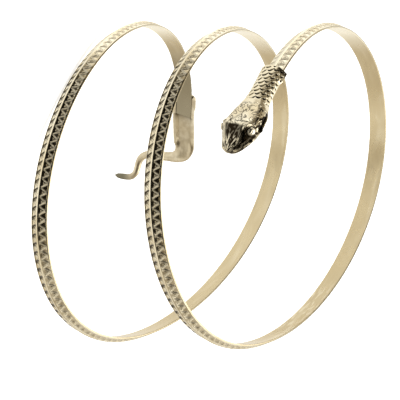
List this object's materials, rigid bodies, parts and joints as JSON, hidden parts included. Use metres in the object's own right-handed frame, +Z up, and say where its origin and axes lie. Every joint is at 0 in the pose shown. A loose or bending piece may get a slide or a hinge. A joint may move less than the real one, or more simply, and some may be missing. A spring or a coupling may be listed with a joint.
{
  "type": "upper arm cuff",
  "caption": "Springy spiral upper arm cuff in pale gold metal, a stamped zigzag strip that ends in a scaled snake's head and a curling tail.",
  "frame": {"origin": "on the surface that the cuff lies on, under the middle of its bounding box", "axes": "+Z up from that surface, the coil's axis leaning 27 degrees from it; -Y towards the pictured side, where the head is; +X to the right seen from there"},
  "size_m": [0.099, 0.122, 0.0798],
  "materials": {
    "strip": "pale gold plated, bright",
    "cast_head": "pale gold plated, bright with darkened recesses",
    "cast_tail": "pale gold plated, satin"
  },
  "bodies": {
    "root": {"band": "strip", "head": "cast_head", "tail": "cast_tail"}
  },
  "joints": []
}
